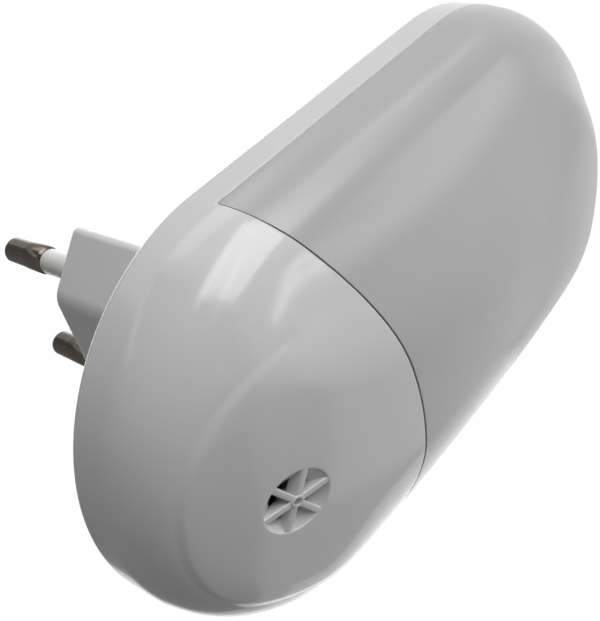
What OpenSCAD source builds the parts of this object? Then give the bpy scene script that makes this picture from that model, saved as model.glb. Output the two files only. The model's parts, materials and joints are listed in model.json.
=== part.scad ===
// Plug-in night light: a pill-shaped body that hangs on its own two-pin plug.
// The lower end holds a light sensor behind a spoked grille, the rest of the
// front is a frosted diffuser.
//
// Frame: origin in the middle of the plug's engagement face, +Y along the pins
// into the socket, +Z up towards the diffuser's end, front of the body at -Y.
// The sub-parts are drawn lying on their back, with the length of the body
// along Y and the height out of the wall along Z, and stand() sets them upright.

/* [Body] */
// Width of the body
body_w = 55; // [54.5:0.1:56]
// Length of the body
body_l = 97.8; // [97:0.2:105]
// Distance from the plug's centre line to the lower end of the body
plug_from_end = 27.2; // [26.5:0.05:27.5]
// Height of the straight band round the side
band_h = 4.5; // [4.3:0.1:5]
// Rise of the front above the side band, where it is highest
dome_h = 18.1; // [17.7:0.1:18.6]
// Wall of the housing
wall = 2; // [1.8:0.1:2.2]

/* [Front curves] */
// Radius of the front across the body
crown_r = 99; // [90:1:110]
// Radius of the front along its length
barrel_r = 130; // [125:1:140]
// Height above the plug's centre line where the front stands furthest out
barrel_top = 26.4; // [25:0.2:28]
// Slope of the bevel that runs all round the front
bevel_slope = 36; // [35:0.5:38]
// Radius of the edge outside that bevel
edge_r = 11; // [10.5:0.1:11.5]
// Softness of the crease between front and bevel along the sides
side_crease = 5; // [4:0.5:6]
// Softness of that crease at the two ends
end_crease = 1; // [0.6:0.1:2]

/* [Diffuser] */
// Wall of the diffuser
diffuser_wall = 1.8; // [1.6:0.1:2]
// Radius of the arched edge between housing and diffuser
arch_r = 62.4; // [60:0.2:70]
// Top of the arched edge above the plug's centre line
arch_top = 6.1; // [4:0.1:8]
// Joint left open between housing and diffuser
joint_gap = 0.15; // [0.1:0.05:0.2]

/* [Grille] */
// Radius of the round grille in front of the sensor
grille_r = 3.9; // [3.6:0.1:4.2]
// Depth of the grille's centre below the plug's centre line
grille_drop = 12; // [11:0.5:13]
// Width of the grille's bars
bar_w = 0.85; // [0.7:0.05:1]
// Bars across the grille
bars = 3; // [2:1:4]

/* [Plug] */
// Distance from the engagement face to the back of the body
plug_depth = 25; // [24.5:0.1:26]
// Width of the plug body
plug_w = 35.3; // [35:0.1:35.6]
// Height of the plug body
plug_h = 13.7; // [13.4:0.1:14]
// Rounding of the plug body's long edges
plug_edge_r = 1.6; // [1:0.1:2]
// Diameter of a pin
pin_d = 4; // [3.94:0.01:4.06]
// Length of a pin from the engagement face
pin_l = 19; // [18.5:0.5:19.5]
// Length of the insulating sleeve on a pin
sleeve_l = 10; // [9:0.5:11]
// Diameter of the sleeve
sleeve_d = 3.6; // [3.5:0.05:3.65]
// Distance between the pins at the engagement face
pin_pitch = 18.6; // [18.3:0.1:19]
// Distance between the pins at their tips
tip_pitch = 18; // [17.5:0.1:18]

/* [Inside] */
// Thickness of the back cover
cover_t = 2; // [1.8:0.1:2.2]
// Thickness of the circuit board
board_t = 1.2; // [1:0.1:1.6]
// Half width of the circuit board
board_r = 17; // [16.5:0.1:17.5]
// Light-emitting diodes along the board, in two columns
led_rows = 3; // [2:1:3]
// Spacing of the diodes along the board
led_step = 16; // [12:1:16]

/* [Hidden] */
$fn = 96;
arch_fn = 360;                        // faces of the circle under the arched edge

half_w = body_w / 2;
low_c = half_w - plug_from_end;       // centre of the lower round end
high_c = low_c + body_l - body_w;     // centre of the upper round end
back_h = plug_depth;                  // the back of the body
band_top = back_h + band_h;           // the joint plane round the side
crest = band_top + dome_h;            // the furthest point of the front
deep = 40;                            // reach of a cutting solid past the body
crease_fade = 12;                     // way past a round end's middle in which the crease hardens
slack = 0.03;                         // moulded fit between plug, sleeves and pins
edge_x = half_w - edge_r;             // centre of the arc that rises from the side band
cover_top = back_h + cover_t;
flange_t = 1.6;
board_low = cover_top + flange_t + 2;
board_top = board_low + board_t;
sensor_y = -grille_drop;
low_post_r = 2.75;
pilot_r = 1.1;
low_posts = [20, -12];                // screw posts of the housing, either side
high_posts = [19.5, 50];              // screw posts of the diffuser, either side
high_post_r = 2.4;
board_posts = [[-9, -14], [9, -14], [0, 47]];
stake_places = [for (x = [-8, 8], y = [-8.9, 8.9]) [x, y]];
stake_r = 1.2;
wire_r = 0.5;
neck_r = 1.4;                         // the pin inside its sleeve
sleeve_root = 3;                      // length of sleeve inside the plug
tail_r = 1;
tail_end = 22;                        // height of the pins' inner ends
toe_in = atan((pin_pitch - tip_pitch) / 2 / pin_l);
cup_end = tail_end + 1.2;
lead_x = pin_pitch / 2 + cup_end * sin(toe_in);
lead_jog = 3;
sensor_leg = 0.7;
led_places = [for (x = [-8, 8], i = [0:led_rows - 1]) [x, 14 + i * led_step]];

// Sets a sub-part upright: its length up, its front away from the wall
module stand() {
    rotate([90, 0, 0]) children();
}

// A pair of the same thing, left and right
module both_sides(place) {
    for (side = [-1, 1]) translate([side * place[0], place[1], 0]) children();
}

// Outline of the body seen from the front
module pill(inset) {
    r = half_w - inset;
    translate([-r, low_c]) square([2 * r, high_c - low_c]);
    translate([0, low_c]) circle(r);
    translate([0, high_c]) circle(r);
}

// Drop of an arc of radius r at a distance x from its top
function drop(r, x) = r - sqrt(max(r * r - x * x, 0));

// Height of the bevel over the joint plane, at a distance r from the line between
// the middles of the round ends. All heights take an inset, which moves the
// surface inwards.
function bevel_height(r, inset) =
    let (arc_r = edge_r - inset,
        foot_x = edge_x + arc_r * sin(bevel_slope),
        foot_h = arc_r * cos(bevel_slope),
        arc = sqrt(max(pow(arc_r, 2) - pow(max(r - edge_x, 0), 2), 0)))
    r > foot_x ? arc : foot_h + (foot_x - r) * tan(bevel_slope);

// Softness of the crease at a distance out past the middle of a round end
function crease(out) =
    let (t = min(max(out / crease_fade, 0), 1))
    side_crease + (end_crease - side_crease) * t * t * (3 - 2 * t);

// The lower of two heights, with the crease between them rounded over a width k
function soft_min(a, b, k) = min(a, b) - pow(max(k - abs(a - b), 0), 2) / (4 * max(k, 0.001));

// Height of the front over the joint plane at x across and l along the body
function front_height(x, l, inset) =
    let (out = max(low_c - l, l - high_c),
        front = dome_h - inset - drop(crown_r - inset, x) - drop(barrel_r - inset, l - barrel_top),
        bevel = bevel_height(norm([x, max(out, 0)]), inset))
    soft_min(front, bevel, min(crease(out), bevel / 2));

// Stations along the body, as [place along it, half width there]
function stations(inset) =
    let (r = half_w - inset, tip_turn = 2.5, turn = 9, spans = 6)
    [for (t = [tip_turn, each [turn:turn:90]]) [low_c - r * cos(t), r * sin(t)],
        for (i = [1:spans - 1]) [low_c + (high_c - low_c) * i / spans, r],
        for (t = [each [90:-turn:turn], tip_turn]) [high_c + r * cos(t), r * sin(t)]];

// Skin through closed sections that all have the same number of points
module loft(sections) {
    n = len(sections[0]);
    last = len(sections) - 1;
    polyhedron([for (section = sections) each section],
        [[for (j = [0:n - 1]) j], [for (j = [n - 1:-1:0]) last * n + j],
            for (i = [0:last - 1], j = [0:n - 1]) each
                [[i * n + j, (i + 1) * n + j, i * n + (j + 1) % n],
                [i * n + (j + 1) % n, (i + 1) * n + j, (i + 1) * n + (j + 1) % n]]]);
}

// The closed body, moved inwards by inset, from height low upwards
module body_form(inset, low) {
    step = 5;
    loft([for (s = stations(inset)) [
        [-s[1], s[0], low],
        for (t = [-90:step:90]) [s[1] * sin(t), s[0], band_top + front_height(s[1] * sin(t), s[0], inset)],
        [s[1], s[0], low]]]);
}

// Everything above the arched edge, moved up by shift
module above_arch(shift, low) {
    translate([0, 0, low]) linear_extrude(2 * deep)
        difference() {
            translate([-1.5 * half_w, -half_w]) square([3 * half_w, 2 * body_l]);
            translate([0, arch_top - arch_r]) circle(arch_r + shift, $fn = arch_fn);
        }
}

// The grille's openings: a disc less its bars and its hub
module grille_openings() {
    hub_r = 1.05;
    difference() {
        circle(grille_r);
        for (turn = [0:bars - 1]) rotate(90 + turn * 180 / bars)
            square([3 * grille_r, bar_w], center = true);
        circle(hub_r);
    }
}

// Screw posts that stand on the back cover and run up into the front
module posts(place, r) {
    both_sides(place) translate([0, 0, cover_top]) cylinder(r = r, h = deep);
}

// Pilot holes up the middle of such posts
module pilots(place, depth) {
    both_sides(place) translate([0, 0, cover_top - 1]) cylinder(r = pilot_r, h = depth + 1);
}

// Housing: side band all round, lower dome, grille, sensor well and screw posts.
// The well and the posts are what is left standing when the inside is hollowed.
module front_shell() {
    well_r = grille_r + 0.3;
    well_wall = 0.7;
    well_low = band_top + 5.6;
    dimple_r = 0.35;
    screw_depth = 8;
    color("gainsboro") stand() difference() {
        body_form(0, back_h);
        difference() {
            body_form(wall, back_h - 1);
            posts(low_posts, low_post_r);
            translate([0, sensor_y, well_low]) difference() {
                cylinder(r = well_r + well_wall, h = deep);
                translate([0, 0, -1]) cylinder(r = well_r, h = 2 * deep);
            }
        }
        above_arch(0, band_top);
        translate([0, sensor_y, well_low]) linear_extrude(deep) grille_openings();
        translate([0, sensor_y, well_low]) cylinder(r = dimple_r, h = deep);
        pilots(low_posts, screw_depth);
    }
}

// Diffuser: frosted dome with two screw posts, a skirt inside the band and a
// tongue under the housing's arched edge
module diffuser() {
    play = 0.15;
    lip = 1;
    skirt_h = 2;
    tongue = 2;
    root = 3;
    screw_depth = 7;
    lip_out = wall + play;
    lip_in = lip_out + lip;
    skirt_low = band_top - skirt_h;
    color("whitesmoke") stand() difference() {
        union() {
            intersection() {
                body_form(0, band_top + joint_gap);
                above_arch(joint_gap, band_top);
            }
            intersection() {
                body_form(lip_out, skirt_low);
                above_arch(-tongue, skirt_low);
            }
            intersection() {
                posts(high_posts, high_post_r);
                translate([-deep, 0, 0]) cube([2 * deep, 3 * deep, band_top + lip]);
            }
        }
        difference() {
            body_form(lip_in, skirt_low - 1);
            posts(high_posts, high_post_r);
        }
        difference() {
            intersection() {
                body_form(diffuser_wall, band_top);
                above_arch(root, band_top + lip);
            }
            posts(high_posts, high_post_r);
        }
        pilots(high_posts, screw_depth);
    }
}

// Convex outline with its corners rounded by tangent arcs
module rounded(points, r) {
    n = len(points);
    function unit(v) = v / norm(v);
    function centre(i) =
        let (back = unit(points[(i + n - 1) % n] - points[i]), on = unit(points[(i + 1) % n] - points[i]))
        points[i] + unit(back + on) * r / sin(acos(back * on) / 2);
    function foot(i, j) =
        let (along = unit(points[j % n] - points[i]))
        points[i] + along * (along * (centre(i) - points[i]));
    polygon([for (i = [0:n - 1]) each [foot(i, i + n - 1), foot(i, i + 1)]]);
    for (i = [0:n - 1]) translate(centre(i)) circle(r);
}

// Corners of the plug body's six-sided outline, smaller by inset
function plug_corners(inset) =
    let (w = plug_w / 2 - inset * sqrt(2),
        h = plug_h / 2 - inset,
        flat = plug_w / 2 - plug_h / 2 - inset * tan(22.5))
    [[w, 0], [flat, h], [-flat, h], [-w, 0], [-flat, -h], [flat, -h]];

module plug_outline(inset) {
    rounded(plug_corners(inset), max(plug_edge_r - inset, 0.3));
}

// Back cover: flat plate with the plug's window, screw holes, heat stakes that
// hold the plug's flange, and posts for the board
module back_cover() {
    play = 0.1;
    hole_r = 1.5;
    sink_r = 2.8;
    sink_h = 1;
    stake_rim = 0.7;
    stake_cap = 0.5;
    post_r = 2.4;
    thread_r = 0.8;
    color("gainsboro") stand() {
        difference() {
            translate([0, 0, back_h]) linear_extrude(cover_t) difference() {
                pill(wall + play);
                plug_outline(-play);
            }
            for (posts = [low_posts, high_posts]) both_sides(posts) {
                translate([0, 0, back_h - 1]) cylinder(r = hole_r, h = 2 * cover_t);
                translate([0, 0, back_h - 1]) cylinder(r = sink_r, h = 1 + sink_h);
            }
        }
        for (place = stake_places) translate([place[0], place[1], cover_top]) {
            cylinder(r = stake_r, h = flange_t);
            translate([0, 0, flange_t]) cylinder(r = stake_r + stake_rim, h = stake_cap);
        }
        for (place = board_posts) translate([place[0], place[1], cover_top]) difference() {
            cylinder(r = post_r, h = board_low - cover_top);
            translate([0, 0, -0.5]) cylinder(r = thread_r, h = deep);
        }
    }
}

// One pin, tip downwards: rounded metal tip, slim neck, collar that anchors it
// in the plug and a solder tail. Play widens it where it is cut out of the plug.
module pin_form(play) {
    tip_r = 1.4;
    collar_r = 2.3;
    collar = [6.5, 8.5];
    neck_end = 14;
    r = pin_d / 2;
    rotate_extrude() {
        translate([0, -pin_l]) square([r - tip_r, tip_r]);
        translate([0, tip_r - pin_l]) square([r, pin_l - tip_r - sleeve_l]);
        translate([0, -sleeve_l]) square([neck_r + play, sleeve_l + neck_end]);
        translate([0, collar[0]]) square([collar_r + play, collar[1] - collar[0]]);
        translate([0, neck_end - 1]) square([tail_r, tail_end - neck_end + 1]);
        translate([r - tip_r, tip_r - pin_l]) intersection() {
            circle(tip_r);
            translate([0, -tip_r]) square(tip_r);
        }
    }
}

// Places a pin or what goes on it, toed in towards the tips
module at_pin(side) {
    translate([side * pin_pitch / 2, 0, 0]) rotate([0, side * toe_in, 0]) children();
}

module pin(side) {
    color("silver") stand() at_pin(side) pin_form(0);
}

module pin_left() {
    pin(-1);
}

module pin_right() {
    pin(1);
}

// Insulating sleeve from inside the plug's face to the metal tip
module sleeve(side) {
    length = sleeve_l + sleeve_root;
    color("lightgray") stand() at_pin(side) translate([0, 0, -sleeve_l]) difference() {
        cylinder(r = sleeve_d / 2, h = length);
        translate([0, 0, -1]) cylinder(r = neck_r + slack, h = length + 2);
    }
}

module sleeve_left() {
    sleeve(-1);
}

module sleeve_right() {
    sleeve(1);
}

// Plug body: six-sided block, hollow from inside, with a boss round each pin and
// a flange that the back cover's heat stakes hold
module plug_body() {
    face_t = 6;
    wall_t = 2.5;
    boss_r = 3.6;
    boss_end = 14;
    flange_w = 4;
    flange_top = cover_top + flange_t;
    color("gainsboro") stand() difference() {
        union() {
            difference() {
                union() {
                    linear_extrude(flange_top) plug_outline(0);
                    translate([0, 0, cover_top]) linear_extrude(flange_t) polygon(plug_corners(-flange_w));
                }
                translate([0, 0, face_t]) linear_extrude(flange_top) plug_outline(wall_t);
            }
            for (side = [-1, 1]) at_pin(side)
                translate([0, 0, face_t - 1]) cylinder(r = boss_r, h = boss_end - face_t + 1);
        }
        for (side = [-1, 1]) at_pin(side) {
            pin_form(slack);
            translate([0, 0, -1]) cylinder(r = sleeve_d / 2 + slack, h = sleeve_root + 1);
        }
        for (place = stake_places) translate([place[0], place[1], cover_top - 1])
            cylinder(r = stake_r + slack, h = flange_t + 2);
    }
}

// Wire from a pin's tail to the board, with a solder cup at one end and a
// double bend that takes up strain
module lead(side) {
    cup_r = 1.5;
    cup_grip = 5;
    bend_r = lead_jog / 2;
    bend_low = cup_end + 1;
    solder_r = 1.1;
    solder_h = 0.4;
    root = 0.5;
    tip = 1;
    bend_top = bend_low + lead_jog;
    color("peru") stand() {
        at_pin(side) difference() {
            translate([0, 0, tail_end - cup_grip]) cylinder(r = cup_r, h = cup_end - tail_end + cup_grip);
            translate([0, 0, tail_end - cup_grip - 1]) cylinder(r = tail_r + slack, h = cup_grip + 1);
        }
        translate([side * lead_x, 0, 0]) {
            translate([0, 0, cup_end - root]) cylinder(r = wire_r, h = bend_low - cup_end + root);
            translate([0, bend_r, bend_low]) rotate([90, 0, 90]) bend(bend_r, wire_r, 90);
            translate([0, bend_r, bend_top]) rotate([90, 0, 90]) bend(bend_r, wire_r, -90);
            translate([0, lead_jog, bend_top]) cylinder(r = wire_r, h = board_top + tip - bend_top);
            translate([0, lead_jog, board_top]) cylinder(r = solder_r, h = solder_h);
        }
    }
}

// Quarter ring of wire in the plane z = 0, from direction start on
module bend(r, wire, start) {
    rotate_extrude(start = start, angle = 90) translate([r, 0]) circle(wire);
}

module live_lead() {
    lead(-1);
}

module neutral_lead() {
    lead(1);
}

// Circuit board with holes for its screws, the leads and the sensor
module circuit_board() {
    ends = [-3, 41];
    screw_hole_r = 1.1;
    leg_hole_r = 0.3;
    color("seagreen") stand() difference() {
        translate([0, 0, board_low]) linear_extrude(board_t) {
            for (end = ends) translate([0, end]) circle(board_r);
            translate([-board_r, ends[0]]) square([2 * board_r, ends[1] - ends[0]]);
        }
        translate([0, 0, board_low - 1]) {
            for (place = board_posts) translate(place) cylinder(r = screw_hole_r, h = deep);
            for (side = [-1, 1]) {
                translate([side * lead_x, lead_jog]) cylinder(r = wire_r + slack, h = deep);
                translate([side * sensor_leg, sensor_y]) cylinder(r = leg_hole_r, h = deep);
            }
        }
    }
}

led_size = [3.5, 2.8, 0.8];
lens_r = 1.2;
lens_h = 0.3;

// Light-emitting diodes: white packages with a round recess
module leds() {
    color("white") stand() for (place = led_places) difference() {
        translate([place[0] - led_size[0] / 2, place[1] - led_size[1] / 2, board_top])
            cube(led_size);
        translate([place[0], place[1], board_top + led_size[2] - lens_h]) cylinder(r = lens_r, h = 1);
    }
}

// Phosphor that fills each diode's recess
module led_phosphors() {
    color("gold") stand() for (place = led_places)
        translate([place[0], place[1], board_top + led_size[2] - lens_h])
            cylinder(r = lens_r - slack, h = lens_h);
}

sensor_r = 1.5;
sensor_low = board_top + 1;
sensor_dome = sensor_low + 3.8;

// Light sensor: clear cylinder with a domed end, behind the grille
module light_sensor() {
    color("lightcyan") stand() translate([0, sensor_y, 0]) rotate_extrude() {
        translate([0, sensor_low]) square([sensor_r, sensor_dome - sensor_low]);
        translate([0, sensor_dome]) intersection() {
            circle(sensor_r);
            square(sensor_r);
        }
    }
}

module sensor_leads() {
    r = 0.25;
    color("silver") stand() for (side = [-1, 1])
        translate([side * sensor_leg, sensor_y, board_low - 1])
            cylinder(r = r, h = sensor_low - board_low + 1);
}

// Black sleeve that keeps the diodes' own light off the sensor
module sensor_boot() {
    boot_r = 3.3;
    boot_h = 5.2;
    play = 0.05;
    color("dimgray") stand() translate([0, sensor_y, board_top]) difference() {
        cylinder(r = boot_r, h = boot_h);
        translate([0, 0, -1]) cylinder(r = sensor_r + play, h = boot_h + 2);
    }
}

// Block with rounded upright edges, standing on the board
module block(place, size, r) {
    w = size[0] / 2;
    l = size[1] / 2;
    translate([place[0], place[1], board_top]) linear_extrude(size[2])
        rounded([[w, l], [-w, l], [-w, -l], [w, -l]], r);
}

module film_capacitor() {
    color("goldenrod") stand() block([-5.5, -0.5], [5, 13, 8], 0.8);
}

// Electrolytic capacitor with the rolled groove near its foot
module smoothing_capacitor() {
    r = 3.15;
    height = 8;
    groove_at = 1.4;
    groove_r = 0.4;
    color("darkslategray") stand() translate([4.6, -3.2, board_top]) rotate_extrude() difference() {
        square([r, height]);
        translate([r + 0.1, groove_at]) circle(groove_r);
        translate([0, height - 0.2]) square([r - 0.8, 1]);
    }
}

// Four-legged rectifier
module bridge_rectifier() {
    size = [4.7, 3.9, 2.5];
    leg = [0.6, 0.9, 0.2];
    leg_x = 1.2;
    place = [5.2, 4.2];
    color("dimgray") stand() {
        block(place, size, 0.2);
        translate([place[0], place[1], board_top])
            for (x = [-leg_x, leg_x], side = [0, 1]) mirror([0, side, 0])
                translate([x - leg[0] / 2, size[1] / 2 - 0.1, 0]) cube(leg);
    }
}

// Part with a wire at each end, lying along X with its legs bent to the board
module axial_part(r, length, wire) {
    lift = 0.2 + r;
    bend_r = 0.6;
    arm = length / 2 + 0.4;
    translate([0, 0, board_top]) {
        translate([-length / 2, 0, lift]) rotate([0, 90, 0]) cylinder(r = r, h = length);
        translate([-arm, 0, lift]) rotate([0, 90, 0]) cylinder(r = wire, h = 2 * arm);
        for (side = [0, 1]) mirror([side, 0, 0]) {
            translate([arm, 0, lift - bend_r]) rotate([90, 0, 0]) bend(bend_r, wire, 0);
            translate([arm + bend_r, 0, 0]) cylinder(r = wire, h = lift - bend_r);
        }
    }
}

module fusible_resistor() {
    color("lightgreen") stand() translate([-0.9, -1.5, 0]) rotate(90) axial_part(1.4, 7, 0.3);
}

module resistors() {
    color("wheat") stand() {
        for (side = [-1, 1]) translate([side * 12.6, -3, 0]) rotate(90) axial_part(0.9, 3.5, 0.25);
        translate([0, 12, 0]) axial_part(0.9, 3.5, 0.25);
    }
}

module zener_diode() {
    color("firebrick") stand() translate([-5.5, -17, 0]) axial_part(1, 3.4, 0.25);
}

// Transistor with a flat front on three legs
module transistor() {
    r = 2.4;
    flat_at = 1.3;
    low = 0.6;
    height = 3.8;
    leg_step = 1.27;
    leg = 0.4;
    color("dimgray") stand() translate([5.2, -17.2, board_top]) {
        translate([0, 0, low]) linear_extrude(height) intersection() {
            circle(r);
            translate([-r, -r]) square([2 * r, r + flat_at]);
        }
        for (i = [-1:1]) translate([i * leg_step - leg / 2, -leg / 2, 0]) cube([leg, leg, low + 0.1]);
    }
}

// Round-headed screw, head down, with a crossed drive; its head sits under z = 0
module screw(head_r, head_h, shank_r, length) {
    drive_w = 0.2 * head_r;
    drive_l = 1.1 * head_r;
    drive_h = 0.55 * head_h;
    difference() {
        union() {
            translate([0, 0, -head_h]) cylinder(r = head_r, h = head_h);
            cylinder(r = shank_r, h = length);
        }
        for (turn = [0, 90]) rotate(turn)
            translate([-drive_l / 2, -drive_w / 2, -head_h - 1]) cube([drive_l, drive_w, drive_h + 1]);
    }
}

// Four screws through the back cover into the housing and the diffuser
module cover_screws() {
    color("silver") stand() for (posts = [low_posts, high_posts]) both_sides(posts)
        translate([0, 0, back_h + 1]) screw(2.5, 1, 1.05, 7);
}

// Three screws that hold the board on the back cover's posts
module board_screws() {
    color("silver") stand() for (place = board_posts)
        translate([place[0], place[1], board_top]) mirror([0, 0, 1]) screw(1.9, 1.2, 0.77, 4);
}

front_shell();
diffuser();
back_cover();
plug_body();
pin_left();
pin_right();
sleeve_left();
sleeve_right();
circuit_board();
leds();
led_phosphors();
light_sensor();
sensor_leads();
sensor_boot();
film_capacitor();
smoothing_capacitor();
bridge_rectifier();
fusible_resistor();
resistors();
transistor();
zener_diode();
live_lead();
neutral_lead();
cover_screws();
board_screws();
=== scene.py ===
"""Plug-in night light: the looks of its housing, diffuser, grille, plug, pins and sensor.

The part hangs on its plug: +Y runs along the pins into the socket, +Z is up, and
the front of the light faces -Y. The shapes below are worked out in millimetres in
flat coordinates (x across, l along the body, h out of the wall) and set upright
in metres by placed().
"""
import json
import math
import bmesh
import bpy
import numpy as np
from mathutils import Matrix


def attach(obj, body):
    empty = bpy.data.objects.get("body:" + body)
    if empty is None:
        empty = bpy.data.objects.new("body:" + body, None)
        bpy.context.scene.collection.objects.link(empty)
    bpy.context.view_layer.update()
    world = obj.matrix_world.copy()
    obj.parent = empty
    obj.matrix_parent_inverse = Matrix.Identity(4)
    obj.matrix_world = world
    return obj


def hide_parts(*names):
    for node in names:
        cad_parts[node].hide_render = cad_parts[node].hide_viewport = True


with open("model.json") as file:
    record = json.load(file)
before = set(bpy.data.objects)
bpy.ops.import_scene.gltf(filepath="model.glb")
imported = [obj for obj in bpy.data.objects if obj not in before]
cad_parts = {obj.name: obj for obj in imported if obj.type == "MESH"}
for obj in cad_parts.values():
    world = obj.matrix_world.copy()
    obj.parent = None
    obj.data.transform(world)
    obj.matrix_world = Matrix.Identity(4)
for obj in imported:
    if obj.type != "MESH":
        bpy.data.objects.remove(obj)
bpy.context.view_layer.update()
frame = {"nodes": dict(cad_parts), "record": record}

# ---- sizes of the light, in millimetres ----
PER_METRE = 1000
BODY_W = 55.0
BODY_L = 97.8
PLUG_AT = 27.2           # axis of the plug over the body's lower end
BACK_H = 25.0            # back of the body, out from the plug's face
BAND_H = 4.5             # side band, up to the joint plane
DOME_H = 18.1            # rise of the front over the joint plane
WALL = 2.0
HALF_W = BODY_W / 2
LOW_C = HALF_W - PLUG_AT              # middle of the lower round end
HIGH_C = LOW_C + BODY_L - BODY_W      # middle of the upper round end
BAND_TOP = BACK_H + BAND_H            # joint plane round the side
CROWN_R = 99.0           # curve of the front across the body
BARREL_R = 130.0         # curve of the front along the body
BARREL_TOP = 26.4        # where that curve stands furthest out
BEVEL_SLOPE = math.radians(36)
EDGE_R = 11.0            # rounding outside the bevel
SIDE_CREASE = 5.0        # softness of the crease along the sides
END_CREASE = 1.0         # and at the round ends
CREASE_FADE = 12.0       # length over which the one becomes the other
STEP = 0.32              # step round the lower disc
STEP_FROM = -3.0         # it begins here
STEP_FADE = 10.0         # and is whole this much further down
STEP_RUN = 0.45          # gap between barrel and bevel over which it falls
RIM_FADE = 3.0           # height over the joint plane below which it fades again
ARCH_R = 62.4            # arched edge between housing and diffuser
ARCH_TOP = 6.1
ARCH_C = ARCH_TOP - ARCH_R            # middle of the arch's circle

LIP = 0.28               # rounding of the housing's edge along the arch
LEDGE_LIP = 0.6 * LIP    # and of the band's edge along the diffuser
LIP_FADE = 2.5           # both run out to nothing at the arch's corners
BACK_EDGE = 0.7          # rounding of the edge towards the wall

GRILLE_AT = (0.0, -12.0)              # middle of the grille, as (x, l)
GRILLE_R = 3.9           # radius of its hole
HOLE_EDGE = 0.2          # rounding of the grille's hole
FUNNEL_R = 2.6           # the hole narrows to this at a depth in the wall
FUNNEL_DEPTH = 1.1
THROAT_R = 2.5           # and to this where it leaves the wall
WELL_R = 4.2             # well round the sensor, inside and outside
WELL_OUTER_R = 4.9
WELL_LOW = BAND_TOP + 5.6
BAR_W = 0.85
BAR_D = 1.4
BAR_EDGE = 0.2
BAR_SUNK = 0.06          # the bars lie this much below the front
BAR_FROM = 0.5           # they begin inside the hub
BAR_PAST = 0.1           # and end this far inside the hole's wall
BAR_FIRST = 30           # direction of the first, in degrees, and from each to the next
BAR_STEP = 60
HUB_R = 0.8
HUB_RISE = 0.05          # top of the hub over the front
HUB_OUTER = (0.12, 0.14)              # its outer edge, as (width, drop)
HUB_INNER = (0.06, 0.1)               # and its inner one, round the dimple
DIMPLE_R = 0.43
DIMPLE_DEPTH = 1.5
DRAFT = 0.01             # the dimple is this much narrower at its foot

SENSOR_R = 1.5           # light sensor behind the grille
SENSOR_LOW = 32.8        # its foot
SENSOR_DOME = 36.6       # where its domed end begins
SENSOR_EDGE = 0.1        # chamfer round its foot

DIFFUSER_WALL = 1.8
DIFFUSER_SUNK = 0.09     # outside of the diffuser, in from the housing's front
DIFFUSER_RISE = 0.08     # its edge over the joint plane
JOINT_GAP = 0.13         # gap along the arched edge
RIM_CROWD = 1.7          # how much its rows crowd towards the upper rim

PLUG_W = 35.3
PLUG_H = 13.7
PLUG_EDGE = 3.4          # rounding along the plug
PLUG_SIDE = 1.0          # and at its two side edges
FACE_EDGE = 0.7          # and round its engagement face
PLUG_IN = 1.0            # how far the block goes into the body
PIN_PITCH = 18.6
TIP_PITCH = 18.0
PIN_R = 2.0
PIN_L = 19.0
TOE_IN = math.atan((PIN_PITCH - TIP_PITCH) / 2 / PIN_L)
TIP_R = 1.4              # rounding of the pin's tip
NECK_R = 1.4             # pin inside its sleeve
# pin below its tip: side, chamfer, groove and neck, which ends inside the block, as
# (radius, height)
PIN_PROFILE = [(PIN_R, -14), (PIN_R, -10.55), (1.96, -10.48), (1.72, -10.24), (1.68, -10.2),
               (1.45, -10.17), (NECK_R, -9.9), (NECK_R, 2), (0, 2)]
# sleeve, once round its section, as (radius, height)
SLEEVE_PROFILE = [(NECK_R, -9.95), (1.66, -9.95), (1.76, -9.91), (1.8, -9.8), (1.8, -5),
                  (1.8, 2.9), (NECK_R, 2.9), (NECK_R, -9.95)]

# points of the grids that the surfaces are made of
DOME_ROWS = 124
INNER_ROWS = 30
ARCH_POINTS = 161
RIM_POINTS = 281
SIDE_POINTS = 48         # along each straight side of the body
END_POINTS = 181         # round its upper end
BAND_ROWS = 12
LINING_ROWS = 4
FLAT_ROWS = 5            # across a lip's flat part
BAR_ROWS = 17
DIFFUSER_ROWS = 181
DIFFUSER_COLUMNS = 201
HUB_STEPS = 48           # once round
SENSOR_STEPS = 48
PIN_STEPS = 64
SHARP = math.radians(32)              # an edge steeper than this stays sharp in the shading


# ---- the form of the front ----
def ease(t):
    """0 up to 0 and 1 from 1, with the smooth cubic 3t^2 - 2t^3 between."""
    t = np.clip(t, 0, 1)
    return t * t * (3 - 2 * t)


def mix(a, b, t):
    """a where t is 0, b where it is 1, and in proportion between."""
    return a + (b - a) * t


def sag(r, x):
    """How far an arc of radius r falls at a distance x from its top."""
    return r - np.sqrt(r ** 2 - x ** 2)


def bevel_height(r, inset):
    """Height of the bevel: an arc of radius EDGE_R up from the rim, then a straight
    slope, at a distance r from the line between the middles of the round ends."""
    arc_r = EDGE_R - inset
    edge_x = HALF_W - EDGE_R
    foot_x = edge_x + arc_r * math.sin(BEVEL_SLOPE)
    foot_h = arc_r * math.cos(BEVEL_SLOPE)
    arc = np.sqrt(np.maximum(arc_r ** 2 - np.maximum(r - edge_x, 0) ** 2, 0))
    return np.where(r > foot_x, arc, foot_h + (foot_x - r) * math.tan(BEVEL_SLOPE))


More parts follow.
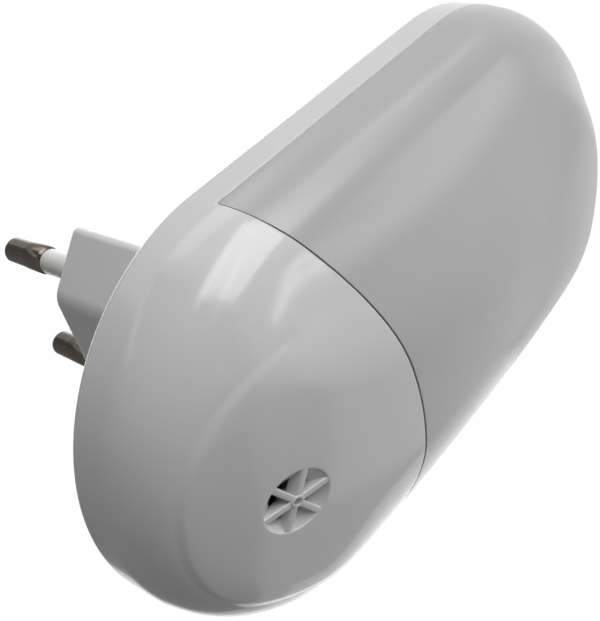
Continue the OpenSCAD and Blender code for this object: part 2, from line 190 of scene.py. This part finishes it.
def front_height(x, l, inset=0.0):
    """Height of the front over the joint plane: the lower of a barrel, which falls by
    one arc across the body and another along it, and the bevel. Where the two are
    closer than k, the crease is rounded by taking (k - gap)^2 / 4k off. Round the
    lower end the bevel lies a fine step below the barrel, so the disc stands out.
    A surface inside, at an inset, has no such step."""
    out = np.maximum(LOW_C - l, l - HIGH_C)
    barrel = DOME_H - inset - sag(CROWN_R - inset, x) - sag(BARREL_R - inset, l - BARREL_TOP)
    bevel = bevel_height(np.hypot(x, np.maximum(out, 0)), inset)
    k = mix(SIDE_CREASE, END_CREASE, ease(out / CREASE_FADE))
    k = np.maximum(np.minimum(k, bevel / 2), 1e-3)      # next to none at the rim itself
    front = np.minimum(barrel, bevel) - np.maximum(k - np.abs(barrel - bevel), 0) ** 2 / (4 * k)
    if inset:
        return front
    step = STEP * ease((STEP_FROM - l) / STEP_FADE) * ease((barrel - bevel) / STEP_RUN)
    return front - step * ease(front / RIM_FADE)


def arch(x, shift=0.0):
    """Place along the body of the arched edge at x, moved outwards by shift."""
    return ARCH_C + np.sqrt((ARCH_R + shift) ** 2 - x ** 2)


def placed(x, l, h):
    """Flat coordinates in millimetres, set upright in metres."""
    x, l, h = np.broadcast_arrays(x, l, h)
    return np.stack([x, -h, l], -1) / PER_METRE


def once_round(steps):
    """Angles once round, the last the same as the first, so that the ends meet."""
    turn = np.linspace(0, 2 * math.pi, steps + 1)
    turn[-1] = 0
    return turn


def quarter(points):
    """Angles of a quarter turn, for a rounded edge."""
    return np.radians(np.linspace(0, 90, points))


QUARTER = quarter(6)[:, None]


# ---- meshes from grids ----
made = []                # (piece, slot) of every new piece


def build(name, patches, slot, replaced):
    """One closed mesh from grids of points (rows, columns, 3). Each grid square, with
    corners a, b, c and d, is two triangles. Points that agree to 0.1 micrometre are
    one, and triangles that lose a corner by that are dropped."""
    points, triangles, start = [], [], 0
    for patch in patches:
        rows, columns = patch.shape[:2]
        index = start + np.arange(rows * columns).reshape(rows, columns)
        a, b, c, d = index[:-1, :-1], index[:-1, 1:], index[1:, 1:], index[1:, :-1]
        triangles.append(np.stack([a, b, c], -1).reshape(-1, 3))
        triangles.append(np.stack([a, c, d], -1).reshape(-1, 3))
        points.append(patch.reshape(-1, 3))
        start += rows * columns
    points = np.concatenate(points)
    triangles = np.concatenate(triangles)
    tenths = np.round(points * 1e7).astype(np.int64)    # metres to tenths of a micrometre
    _, first, same = np.unique(tenths, axis=0, return_index=True, return_inverse=True)
    points = points[first]
    a, b, c = same.reshape(-1)[triangles].T
    triangles = np.stack([a, b, c], -1)[(a != b) & (b != c) & (c != a)]
    mesh = bpy.data.meshes.new(name)
    mesh.vertices.add(len(points))
    mesh.vertices.foreach_set("co", points.reshape(-1))
    mesh.loops.add(3 * len(triangles))
    mesh.loops.foreach_set("vertex_index", triangles.reshape(-1))
    mesh.polygons.add(len(triangles))
    mesh.polygons.foreach_set("loop_start", 3 * np.arange(len(triangles)))
    mesh.polygons.foreach_set("loop_total", np.full(len(triangles), 3))
    mesh.update(calc_edges=True)
    mesh.validate()
    work = bmesh.new()
    work.from_mesh(mesh)
    bmesh.ops.recalc_face_normals(work, faces=work.faces)
    work.to_mesh(mesh)
    work.free()
    mesh.shade_smooth()
    mesh.set_sharp_from_angle(angle=SHARP)
    piece = bpy.data.objects.new(name, mesh)
    bpy.context.scene.collection.objects.link(piece)
    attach(piece, "root")
    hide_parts(replaced)
    made.append((piece, slot))


# ---- housing: lower dome, side band, lip, grille opening and sensor well ----
# where the arch's circle crosses that of the lower round end, and how far round the
# end that is, as an angle below its widest place
CORNER_L = (ARCH_R ** 2 - HALF_W ** 2 + LOW_C ** 2 - ARCH_C ** 2) / (2 * (LOW_C - ARCH_C))
CORNER_X = math.sqrt(HALF_W ** 2 - (CORNER_L - LOW_C) ** 2)
DIP = math.asin((LOW_C - CORNER_L) / HALF_W)

# the arched edge from right to left, the directions out from its circle, and the
# rounding along it
arch_x = CORNER_X * np.cos(np.linspace(0, math.pi, ARCH_POINTS))
arch_l = arch(arch_x)
arch_l[[0, -1]] = CORNER_L
arch_out = np.stack([arch_x, arch_l - ARCH_C]) / ARCH_R
arch_lip = LIP * ease((CORNER_X - np.abs(arch_x)) / LIP_FADE)
near_side = np.abs(arch_x / CORNER_X) ** 8     # 1 at the two corners, soon 0 between

# the rim of the lower end, from left to right
rim_turn = np.linspace(math.pi + DIP, 2 * math.pi - DIP, RIM_POINTS)
rim = np.stack([HALF_W * np.cos(rim_turn), LOW_C + HALF_W * np.sin(rim_turn)])
rim[:, 0] = (-CORNER_X, CORNER_L)
rim[:, -1] = (CORNER_X, CORNER_L)

# the dome's border, once round, and the star of directions to it from the grille
arch_edge = np.stack([arch_x, arch_l]) - arch_lip * arch_out
border = np.concatenate([arch_edge, rim[:, 1:]], 1)
star = border - np.array(GRILLE_AT)[:, None]
star = star / np.hypot(*star)


def round_grille(r):
    """Points at a distance r from the grille's middle, one in each direction of the star."""
    return GRILLE_AT[0] + r * star[0], GRILLE_AT[1] + r * star[1]


def dome_patch():
    """The lower dome: straight lines from the hole's edge to the border, with their
    points closer together towards the rim."""
    share = np.linspace(0, 1, DOME_ROWS)[:, None]
    at_rim = np.concatenate([near_side, np.ones(RIM_POINTS - 1)])
    share = mix(share, 1 - (1 - share) ** 2, at_rim)
    x, l = round_grille(GRILLE_R + HOLE_EDGE)
    x, l = mix(x, border[0], share), mix(l, border[1], share)
    return placed(x, l, BAND_TOP + front_height(x, l))


def hole_patch():
    """Rings round the grille's middle: the hole's rounded edge, the funnel below it
    and the well round the sensor."""
    x, l = round_grille(GRILLE_R + HOLE_EDGE * (1 - np.sin(QUARTER)))
    rings = [placed(x, l, BAND_TOP + front_height(x, l) - HOLE_EDGE * (1 - np.cos(QUARTER)))]
    for r, inset in ((FUNNEL_R, FUNNEL_DEPTH), (THROAT_R, WALL), (WELL_R, WALL)):
        x, l = round_grille(r)
        rings.append(placed(x, l, BAND_TOP + front_height(x, l, inset))[None])
    for r in (WELL_R, WELL_OUTER_R):
        rings.append(placed(*round_grille(r), WELL_LOW)[None])
    x, l = round_grille(WELL_OUTER_R)
    rings.append(placed(x, l, BAND_TOP + front_height(x, l, WALL))[None])
    return np.concatenate(rings)


def inner_patch():
    """The inside of the dome, a wall's thickness below the front: straight lines from
    the well to the border, which is shrunk by the wall along the rim."""
    scale = (HALF_W - WALL) / HALF_W
    inner_arch = np.stack([mix(arch_x, arch_x * scale, near_side),
                           mix(arch_l, LOW_C + (arch_l - LOW_C) * scale, near_side)])
    inner_rim = np.stack([rim[0] * scale, LOW_C + (rim[1] - LOW_C) * scale])
    inner_arch[:, 0] = inner_rim[:, -1]
    inner_arch[:, -1] = inner_rim[:, 0]
    end = np.concatenate([inner_arch, inner_rim[:, 1:]], 1)
    share = np.linspace(0, 1, INNER_ROWS)[:, None]
    x, l = round_grille(WELL_OUTER_R)
    x, l = mix(x, end[0], share), mix(l, end[1], share)
    h = BAND_TOP + front_height(x, l, WALL)
    # the border's points on the band, but for rounding, lie in the joint plane
    on_band = np.hypot(end[0], np.maximum(LOW_C - end[1], 0)) >= HALF_W - WALL - 1e-6
    h[-1] = np.where(on_band, BAND_TOP, h[-1])
    return placed(x, l, h)


def lip_patch(inner):
    """The lip along the arch: a quarter turn, then straight down to the inner surface."""
    x = arch_edge[0] + arch_lip * np.sin(QUARTER) * arch_out[0]
    l = arch_edge[1] + arch_lip * np.sin(QUARTER) * arch_out[1]
    over = placed(x, l, BAND_TOP + front_height(x, l) - arch_lip * (1 - np.cos(QUARTER)))
    over[:, [0, -1]] = placed(np.array([CORNER_X, -CORNER_X]), CORNER_L, BAND_TOP)
    share = np.linspace(0, 1, FLAT_ROWS)[1:, None, None]
    return np.concatenate([over, mix(over[-1], inner[-1, :ARCH_POINTS], share)])


def upper_path():
    """Side of the body from the arch's right corner over the top to its left corner:
    a straight, a half circle and a straight, as rows x, l and the direction out."""
    up = np.linspace(LOW_C, HIGH_C, SIDE_POINTS + 1)[:-1]
    turn = np.linspace(0, math.pi, END_POINTS)
    zero = np.zeros(SIDE_POINTS)
    start = [[CORNER_X], [CORNER_L], [math.cos(DIP)], [-math.sin(DIP)]]
    right = [zero + HALF_W, up, zero + 1, zero]
    top = [HALF_W * np.cos(turn), HIGH_C + HALF_W * np.sin(turn), np.cos(turn), np.sin(turn)]
    left = [zero - HALF_W, up[::-1], zero - 1, zero]
    end = [[-CORNER_X], [CORNER_L], [-math.cos(DIP)], [-math.sin(DIP)]]
    return np.concatenate([start, right, top, left, end], 1)


def band_patch(path, edge):
    """The band's outer face from edge below the joint plane, a quarter turn round its
    back edge, and its flat back."""
    x, l, out_x, out_l = path
    h = mix(BAND_TOP - edge, BACK_H + BACK_EDGE, np.linspace(0, 1, BAND_ROWS)[:, None])
    turn = quarter(7)[1:, None]
    inset = BACK_EDGE * (1 - np.cos(turn))
    round_h = BACK_H + BACK_EDGE * (1 - np.sin(turn))
    return np.concatenate([placed(x, l, h),
                           placed(x - inset * out_x, l - inset * out_l, round_h),
                           placed(x - WALL * out_x, l - WALL * out_l, BACK_H)[None]])


def lining_patch(path):
    """The band's inner face, straight down from the joint plane."""
    x, l, out_x, out_l = path
    h = np.linspace(BAND_TOP, BACK_H, LINING_ROWS)[:, None]
    return placed(x - WALL * out_x, l - WALL * out_l, h)


def ledge_patch(path, edge):
    """The ledge under the diffuser: a quarter turn, then flat to the inner face."""
    x, l, out_x, out_l = path
    inset = edge * (1 - np.cos(QUARTER))
    over = placed(x - inset * out_x, l - inset * out_l, BAND_TOP - edge + edge * np.sin(QUARTER))
    end = placed(x - WALL * out_x, l - WALL * out_l, BAND_TOP)
    share = np.linspace(0, 1, FLAT_ROWS)[1:, None, None]
    return np.concatenate([over, mix(over[-1], end, share)])


def bar_patches(angle):
    """A grille bar: a rounded rectangle carried outwards from the hub, with its top
    just under the front and its outer end in the hole's wall."""
    along = np.linspace(BAR_FROM, GRILLE_R + BAR_PAST, BAR_ROWS)[:, None]
    half = BAR_W / 2
    more = BAR_EDGE * (1 - np.cos(QUARTER[:, 0]))
    less = BAR_EDGE * (1 - np.sin(QUARTER[:, 0]))
    side = np.concatenate([[-half], -half + more, half - less, [half, -half]])
    over = np.concatenate([[-BAR_D], -less, -more, [-BAR_D, -BAR_D]])
    x = GRILLE_AT[0] + along * math.cos(angle) - side * math.sin(angle)
    l = GRILLE_AT[1] + along * math.sin(angle) + side * math.cos(angle)
    skin = placed(x, l, BAND_TOP - BAR_SUNK + front_height(x, l) + over)
    caps = []
    for row in (skin[:1], skin[-1:]):
        middle = np.repeat(row.mean(1, keepdims=True), row.shape[1], 1)
        caps.append(np.concatenate([row, middle]))
    return [skin] + caps


def hub_patch():
    """The grille's hub: a disc with rounded edges and a dimple, laid on the front's slope."""
    sin, cos = np.sin(QUARTER[:, 0]), np.cos(QUARTER[:, 0])
    inner = DIMPLE_R + HUB_INNER[0] * (1 - cos)
    outer = HUB_R - HUB_OUTER[0] * (1 - sin)
    r = np.concatenate([[0, DIMPLE_R - DRAFT], inner, outer, [HUB_R, 0]])
    over = np.concatenate([[-DIMPLE_DEPTH, -DIMPLE_DEPTH], HUB_RISE - HUB_INNER[1] * (1 - sin),
                           HUB_RISE - HUB_OUTER[1] * (1 - cos), [-WALL, -WALL]])
    turn = once_round(HUB_STEPS)
    x = GRILLE_AT[0] + r[:, None] * np.cos(turn)
    l = GRILLE_AT[1] + r[:, None] * np.sin(turn)
    return placed(x, l, BAND_TOP + front_height(x, l) + over[:, None])


def housing_patches():
    """Dome, hole, inside, lip and band, which share their border points, then the
    grille's bars and hub."""
    inner = inner_patch()
    patches = [dome_patch(), hole_patch(), inner, lip_patch(inner)]
    lower = np.concatenate([rim, (rim - np.array([[0], [LOW_C]])) / HALF_W])
    upper = upper_path()
    edge = LEDGE_LIP * ease(np.abs(upper[1] - CORNER_L) / LIP_FADE)
    patches += [band_patch(lower, 0.0), lining_patch(lower)]
    patches += [band_patch(upper, edge), lining_patch(upper), ledge_patch(upper, edge)]
    for degrees in range(BAR_FIRST, 360, BAR_STEP):
        patches += bar_patches(math.radians(degrees))
    patches.append(hub_patch())
    return patches


build("housing", housing_patches(), "housing_abs", "front_shell")


# ---- diffuser ----
def diffuser_patches():
    """Lines of constant x run from the arched edge to the upper rim, closer
    together towards the sides and the rim. The inner surface repeats them a
    wall's thickness below, and strips close the two along their border."""
    grids = []
    for inset in (DIFFUSER_SUNK, DIFFUSER_WALL):
        x = (HALF_W - inset) * np.sin(np.linspace(-math.pi / 2, math.pi / 2, DIFFUSER_COLUMNS))
        low = arch(x, JOINT_GAP)
        high = HIGH_C + np.sqrt(np.maximum((HALF_W - inset) ** 2 - x ** 2, 0))
        share = np.linspace(0, 1, DIFFUSER_ROWS)[:, None]
        l = mix(low, high, 1 - (1 - share) ** RIM_CROWD)
        h = front_height(x, l, inset)
        h[:, [0, -1]] = 0
        h[-1] = 0
        grids.append(placed(x, l, BAND_TOP + DIFFUSER_RISE + h))
    outer, inner = grids
    strips = [np.stack([outer[0], inner[0]]), np.stack([outer[-1], inner[-1]]),
              np.stack([outer[:, 0], inner[:, 0]]), np.stack([outer[:, -1], inner[:, -1]])]
    return [outer, inner] + strips


build("diffuser_dome", diffuser_patches(), "diffuser_pc", "diffuser")


# ---- plug body, pins, sleeves and sensor ----
def plug_patches():
    """A six-sided outline with its corners rounded by tangent arcs, carried back
    from the engagement face, whose edge is rounded over."""
    side, top = PLUG_W / 2, PLUG_H / 2
    corners = np.array([[side, 0], [side - top, top], [top - side, top],
                        [-side, 0], [top - side, -top], [side - top, -top]])
    rounding = np.array([PLUG_SIDE, PLUG_EDGE, PLUG_EDGE] * 2)
    back = np.roll(corners, 1, 0) - corners
    on = np.roll(corners, -1, 0) - corners
    back /= np.linalg.norm(back, axis=1, keepdims=True)
    on /= np.linalg.norm(on, axis=1, keepdims=True)
    half = np.arccos((back * on).sum(1)) / 2      # half the angle between two sides
    middle = back + on
    inwards = middle / np.linalg.norm(middle, axis=1, keepdims=True)
    centres = corners + inwards * (rounding / np.sin(half))[:, None]
    steps = 11                                    # points of each corner's arc
    facing = np.arctan2(-middle[:, 1], -middle[:, 0])
    spread = np.linspace(-1, 1, steps) * (math.pi / 2 - half)[:, None]
    turn = (facing[:, None] + spread).reshape(-1)
    turn = np.append(turn, turn[0])
    centres = np.append(np.repeat(centres, steps, 0), centres[:1], 0)
    edge = quarter(8)
    side_h = np.linspace(FACE_EDGE, BACK_H + PLUG_IN, 7)[1:]
    inset = np.concatenate([FACE_EDGE * (1 - np.sin(edge)), np.zeros(len(side_h))])
    height = np.concatenate([FACE_EDGE * (1 - np.cos(edge)), side_h])
    r = np.append(np.repeat(rounding, steps), rounding[0]) - inset[:, None]
    x = centres[:, 0] + r * np.cos(turn)
    l = centres[:, 1] + r * np.sin(turn)
    skin = placed(x, l, height[:, None])
    face = skin[0] * np.linspace(0, 1, 4)[:, None, None]
    rear = mix(skin[-1], skin[-1].mean(0), np.linspace(0, 1, 3)[:, None, None])
    return [skin, face, rear]


build("plug_block", plug_patches(), "plug_abs", "plug_body")


def tip_profile():
    """The pin's flat tip and its rounded edge, as (radius, height)."""
    r = PIN_R - TIP_R * (1 - np.sin(quarter(9)))
    h = -PIN_L + TIP_R * (1 - np.cos(quarter(9)))
    return [(0, -PIN_L)] + list(zip(r, h))


def on_pin(side, profile):
    """A profile of (radius, height), turned about the axis of the left (-1) or right
    (1) pin, which toes in towards the tip."""
    r, h = np.array(profile, float).T[:, :, None]
    turn = once_round(PIN_STEPS)
    lean = side * TOE_IN
    x = side * PIN_PITCH / 2 + r * np.cos(turn) * math.cos(lean) + h * math.sin(lean)
    return placed(x, r * np.sin(turn), h * math.cos(lean) - r * np.cos(turn) * math.sin(lean))


for side, name in ((-1, "left"), (1, "right")):
    pin = on_pin(side, tip_profile() + PIN_PROFILE)
    build("contact_" + name, [pin], "pin_nickel", "pin_" + name)
    build("collar_" + name, [on_pin(side, SLEEVE_PROFILE)], "sleeve_pa", "sleeve_" + name)


def sensor_patch():
    """A cylinder with a hemispherical end, turned about the grille's axis."""
    dome = quarter(13)
    r = np.concatenate([[0, SENSOR_R - SENSOR_EDGE, SENSOR_R], SENSOR_R * np.cos(dome)])
    r[-1] = 0
    foot = SENSOR_LOW + np.array([0, 0, SENSOR_EDGE])
    h = np.concatenate([foot, SENSOR_DOME + SENSOR_R * np.sin(dome)])
    turn = once_round(SENSOR_STEPS)
    x = GRILLE_AT[0] + r[:, None] * np.cos(turn)
    l = GRILLE_AT[1] + r[:, None] * np.sin(turn)
    return placed(x, l, h[:, None])


build("sensor_lens", [sensor_patch()], "sensor_epoxy", "light_sensor")


# ---- materials ----
def linear(code):
    """sRGB hex colour as linear RGBA."""
    value = np.array([int(code[i:i + 2], 16) for i in (1, 3, 5)]) / 255
    value = np.where(value <= 0.04045, value / 12.92, ((value + 0.055) / 1.055) ** 2.4)
    return (*value.tolist(), 1.0)


def add(tree, kind, settings=None, links=None):
    """Adds a node, gives its properties and inputs their values, and links its inputs."""
    node = tree.nodes.new(kind)
    for key, value in (settings or {}).items():
        if isinstance(key, str) and key in node.bl_rna.properties and key not in node.inputs:
            setattr(node, key, value)
        else:
            node.inputs[key].default_value = value
    for key, source in (links or {}).items():
        tree.links.new(source, node.inputs[key])
    return node


def finish(name, shades, grain, rough, tooth, settings, packed=(1, 1, 1)):
    """A material whose colour wanders between two shades over grain millimetres,
    whose roughness wanders with it by a tenth to either side of rough, and whose
    surface has a fine tooth = (millimetres across, millimetres high). A real tooth,
    about 0.05 mm across, is too fine to show, so it is drawn coarser. Along each
    axis the pattern is as many times finer as packed says."""
    material = bpy.data.materials.new(name)
    material.use_nodes = True
    tree = material.node_tree
    tree.nodes.clear()
    place = add(tree, "ShaderNodeTexCoord").outputs["Object"]
    place = add(tree, "ShaderNodeMapping", {"Scale": packed}, {"Vector": place}).outputs["Vector"]
    cloud = add(tree, "ShaderNodeTexNoise", {"Scale": PER_METRE / grain, "Detail": 4.0},
                {"Vector": place}).outputs["Fac"]
    ramp = add(tree, "ShaderNodeValToRGB", None, {"Fac": cloud})
    ramp.color_ramp.interpolation = "EASE"
    for stop, at, shade in zip(ramp.color_ramp.elements, (0.3, 0.7), shades):
        stop.position = at
        stop.color = linear(shade)
    sheen = add(tree, "ShaderNodeMapRange",
                {"interpolation_type": "SMOOTHSTEP", "From Min": 0.2, "From Max": 0.8,
                 "To Min": rough * 0.9, "To Max": rough * 1.1},
                {"Value": cloud}).outputs["Result"]
    fine = add(tree, "ShaderNodeTexNoise", {"Scale": PER_METRE / tooth[0], "Detail": 3.0},
               {"Vector": place}).outputs["Fac"]
    relief = add(tree, "ShaderNodeBump", {"Strength": 1.0, "Distance": tooth[1] / PER_METRE},
                 {"Height": fine}).outputs["Normal"]
    shader = add(tree, "ShaderNodeBsdfPrincipled", settings,
                 {"Base Color": ramp.outputs["Color"], "Roughness": sheen, "Normal": relief})
    add(tree, "ShaderNodeOutputMaterial", None, {"Surface": shader.outputs["BSDF"]})
    return material


METAL = {"Metallic": 1.0}
FROSTED = {"IOR": 1.585, "Subsurface Weight": 0.15, "Subsurface Radius": (1.0, 1.0, 1.0),
           "Subsurface Scale": 0.002}
# each material by its slot, as name, two shades, grain, roughness, tooth and settings
FINISHES = {
    # polished moulded ABS, light grey white: soft clear highlights, hardly any texture
    "housing_abs": finish("moulded_abs_polished", ("#d8d8d8", "#dcdcdc"),
                          18, 0.13, (1.6, 0.0012), {"IOR": 1.53}),
    # frosted polycarbonate, slightly translucent: a satin sheen that spreads the highlights
    "diffuser_pc": finish("frosted_polycarbonate", ("#b4b4b4", "#b8b8b8"),
                          25, 0.24, (0.9, 0.0012), FROSTED),
    # satin ABS from a spark-eroded mould: dull highlights and a fine even tooth
    "plug_abs": finish("moulded_abs_satin", ("#dddddd", "#e1e1e1"),
                       12, 0.38, (0.35, 0.004), {"IOR": 1.53}),
    # the same plastic on the flat back cover: almost matt, with a coarser tooth
    "cover_abs": finish("moulded_abs_textured", ("#cbccce", "#d2d3d5"),
                        14, 0.5, (0.5, 0.010), {"IOR": 1.53}),
    # nickel plated turned brass: a dark, faintly warm mirror with fine turning marks
    # round the pin
    "pin_nickel": finish("nickel_plated_brass", ("#57524c", "#69645d"),
                         3, 0.17, (0.5, 0.0015), METAL, (1, 14, 1)),
    # satin moulded polyamide: white, with broad soft highlights
    "sleeve_pa": finish("moulded_polyamide", ("#e6e6e3", "#ebebe8"),
                        5, 0.35, (0.3, 0.004), {"IOR": 1.53}),
    # green solder mask over glass fibre board: softly glossy and a little uneven
    "board_fr4": finish("solder_masked_fr4", ("#14532c", "#1b6637"),
                        2.5, 0.35, (0.4, 0.010), {"IOR": 1.5}),
    # white heat-stable resin of the diodes' bodies: chalky and matt
    "led_white": finish("white_ppa_resin", ("#e3e3dd", "#eeeee9"),
                        1.5, 0.5, (0.2, 0.004), {"IOR": 1.6}),
    # silicone gel filled with yellow phosphor: a soft wet yellow
    "phosphor": finish("phosphor_silicone", ("#d8b23a", "#e6c455"),
                       0.6, 0.3, (0.15, 0.006), {"IOR": 1.41}),
    # clear cast epoxy of the sensor: smoky and glassy
    "sensor_epoxy": finish("clear_cast_epoxy", ("#5a6068", "#7d848c"),
                           1.2, 0.12, (0.8, 0.001), {"IOR": 1.55}),
    # black moulded epoxy of chips and the sensor's boot: matt black
    "black_plastic": finish("black_moulded_epoxy", ("#17181a", "#222326"),
                            2, 0.5, (0.25, 0.006), {"IOR": 1.55}),
    # yellow flame-retardant polyester box of the film capacitor: satin
    "film_box": finish("yellow_polyester_box", ("#c99a2c", "#d6a93d"),
                       3, 0.4, (0.4, 0.005), {"IOR": 1.55}),
    # heat-shrunk sleeve over the aluminium can: dark blue and glossy
    "capacitor_can": finish("shrink_sleeved_aluminium", ("#1d2f55", "#26406f"),
                            2.5, 0.3, (0.6, 0.005), {"IOR": 1.5}),
    # baked lacquer over the resistors: a beige with a soft shine
    "resistor_coat": finish("resistor_lacquer", ("#b9a27c", "#c9b48f"),
                            1.2, 0.35, (0.3, 0.006), {"IOR": 1.5}),
    # fired glass of the zener diode: orange brown and very glossy
    "diode_glass": finish("fired_diode_glass", ("#a4502a", "#c06a3d"),
                          1.0, 0.1, (0.5, 0.002), {"IOR": 1.5}),
    # tinned copper wire: dull silver
    "tinned_copper": finish("tinned_copper", ("#b4b5b3", "#c9cac8"),
                            1.0, 0.3, (0.3, 0.002), METAL),
    # zinc plated steel of the screws: bright, with a fine grain
    "screw_steel": finish("zinc_plated_steel", ("#a9adb1", "#c3c7cb"),
                          1.2, 0.28, (0.3, 0.002), METAL),
}
for piece, slot in made:
    piece.data.materials.append(FINISHES[slot])
for part in frame["record"]["subparts"]:
    solid = frame["nodes"][part["node"]]
    solid.data.materials.clear()
    solid.data.materials.append(FINISHES[part["material_slot"]])


# ---- floor, light and camera ----
WHITE = linear("#ffffff")
FLOOR_HALF = 8.0                   # in metres, as all below
FLOOR_Z = -0.6
MIRRORED_GLOW = 0.28               # the floor's glow in mirror images and through glass
CAMERA_GLOW = 0.4                  # and what the camera sees besides
SOFT_LIGHT = 0.02                  # of the world, on the surfaces
LIT_POINT = (0.0, -0.03, 0.02)     # place in the body that the lamps face


def background_rays(tree):
    """1 for rays from the camera, mirrored rays and rays through glass."""
    path = add(tree, "ShaderNodeLightPath").outputs
    seen = add(tree, "ShaderNodeMath", {"operation": "MAXIMUM"},
               {0: path["Is Camera Ray"], 1: path["Is Glossy Ray"]}).outputs[0]
    return add(tree, "ShaderNodeMath", {"operation": "MAXIMUM"},
               {0: seen, 1: path["Is Transmission Ray"]}).outputs[0]


def grey_card():
    """Matt grey card that looks pale as far as it reaches: it glows for the camera,
    less in mirror images, so that those stay soft, and not onto other surfaces."""
    card = finish("matt_grey_card", ("#9c9c9c", "#a2a2a2"), 60, 0.9, (2.0, 0.005), {"IOR": 1.45})
    tree = card.node_tree
    shader = next(node for node in tree.nodes if node.type == "BSDF_PRINCIPLED")
    shader.inputs["Emission Color"].default_value = WHITE
    mirrored = add(tree, "ShaderNodeMath", {"operation": "MULTIPLY", 1: MIRRORED_GLOW},
                   {0: background_rays(tree)}).outputs[0]
    camera_ray = add(tree, "ShaderNodeLightPath").outputs["Is Camera Ray"]
    glow = add(tree, "ShaderNodeMath", {"operation": "MULTIPLY_ADD", 1: CAMERA_GLOW},
               {0: camera_ray, 2: mirrored}).outputs[0]
    tree.links.new(glow, shader.inputs["Emission Strength"])
    return card


def lay_floor():
    """A square sheet under the light."""
    mesh = bpy.data.meshes.new("floor")
    s, z = FLOOR_HALF, FLOOR_Z
    mesh.from_pydata([(-s, -s, z), (s, -s, z), (s, s, z), (-s, s, z)], [], [(0, 1, 2, 3)])
    mesh.materials.append(grey_card())
    floor = bpy.data.objects.new("floor", mesh)
    bpy.context.scene.collection.objects.link(floor)


def softbox(name, low, high, distance, width, power):
    """An area lamp, width across, whose ends lie in two directions at a distance
    from the lit point, which it faces. Its power is in watts."""
    ends = np.array([low, high], float)
    ends *= distance / np.linalg.norm(ends, axis=1, keepdims=True)
    length = np.linalg.norm(ends[1] - ends[0])
    middle = ends.mean(0)
    up = (ends[1] - ends[0]) / length
    side = np.cross(up, middle)
    side /= np.linalg.norm(side)
    place = np.eye(4)
    place[:3] = np.stack([side, up, np.cross(side, up), middle + LIT_POINT], 1)
    lamp = bpy.data.lights.new(name, "AREA")
    lamp.shape = "RECTANGLE"
    lamp.size = width
    lamp.size_y = length
    lamp.energy = power
    thing = bpy.data.objects.new(name, lamp)
    bpy.context.scene.collection.objects.link(thing)
    thing.matrix_world = Matrix(place)


lay_floor()

# the large soft box on the left, which gives the shape its light and shade
softbox("key", (-0.83, -0.47, -0.16), (-0.84, -0.2, 0.6), 0.8, 0.5, 3.85)
# thin lamps on the left, mirrored as two streaks
softbox("edge_far", (-0.89, -0.33, -0.32), (-0.97, -0.12, 0.21), 0.78, 0.04, 0.11)
softbox("edge_near", (-0.75, -0.61, -0.26), (-0.91, -0.34, 0.24), 0.78, 0.04, 0.1)
# lamps behind on the left, for the side band, the plug and the pins
softbox("behind", (-0.69, 0.71, -0.1), (-0.63, 0.39, -0.68), 0.8, 0.12, 0.18)
softbox("back", (-0.8, 0.5, 0.0), (-0.7, 0.4, 0.6), 0.8, 0.3, 0.6)
# thin lamps higher up, mirrored as streaks in the front and near the upper rim
softbox("strip", (-0.3, -0.93, 0.17), (-0.31, -0.5, 0.8), 0.8, 0.05, 0.4)
softbox("rim", (-0.8, -0.07, 0.6), (-0.62, -0.18, 0.77), 0.8, 0.04, 0.12)
# large lamps that fill the shade in front, on the right and at the back
softbox("low_fill", (-0.5, -0.8, -0.4), (-0.5, -0.8, 0.3), 1.0, 0.7, 0.06)
softbox("fill", (0.4, -0.9, 0.15), (0.3, -0.5, 0.8), 1.0, 1.1, 1.65)
softbox("right", (0.95, 0.1, 0.0), (0.85, 0.1, 0.7), 1.0, 1.0, 1.2)
softbox("rear", (0.2, 0.95, 0.0), (0.2, 0.8, 0.8), 1.1, 1.0, 4.0)

world = bpy.data.worlds.new("studio")
bpy.context.scene.world = world
world.use_nodes = True
sky = world.node_tree
sky.nodes.clear()
plain = add(sky, "ShaderNodeBackground", {"Color": WHITE, "Strength": 1.0}).outputs[0]
soft = add(sky, "ShaderNodeBackground", {"Color": WHITE, "Strength": SOFT_LIGHT}).outputs[0]
both = add(sky, "ShaderNodeMixShader", None, {0: background_rays(sky), 1: soft, 2: plain}).outputs[0]
add(sky, "ShaderNodeOutputWorld", None, {"Surface": both})

lens = bpy.data.cameras.new("camera")
lens.lens = 53.02                  # in millimetres, as the sensor's width
lens.sensor_width = 36.0
lens.clip_start = 0.01
camera = bpy.data.objects.new("camera", lens)
bpy.context.scene.collection.objects.link(camera)
# close by, in front of the light on its left and below, looking up to the right, and
# rolled so that the light lies across the picture
camera.location = (-0.073898, -0.093484, -0.051532)
camera.rotation_euler = [math.radians(angle) for angle in (132.0271, -36.8637, -74.3941)]
bpy.context.scene.camera = camera
bpy.context.scene.view_settings.view_transform = "Standard"

bpy.context.view_layer.update()
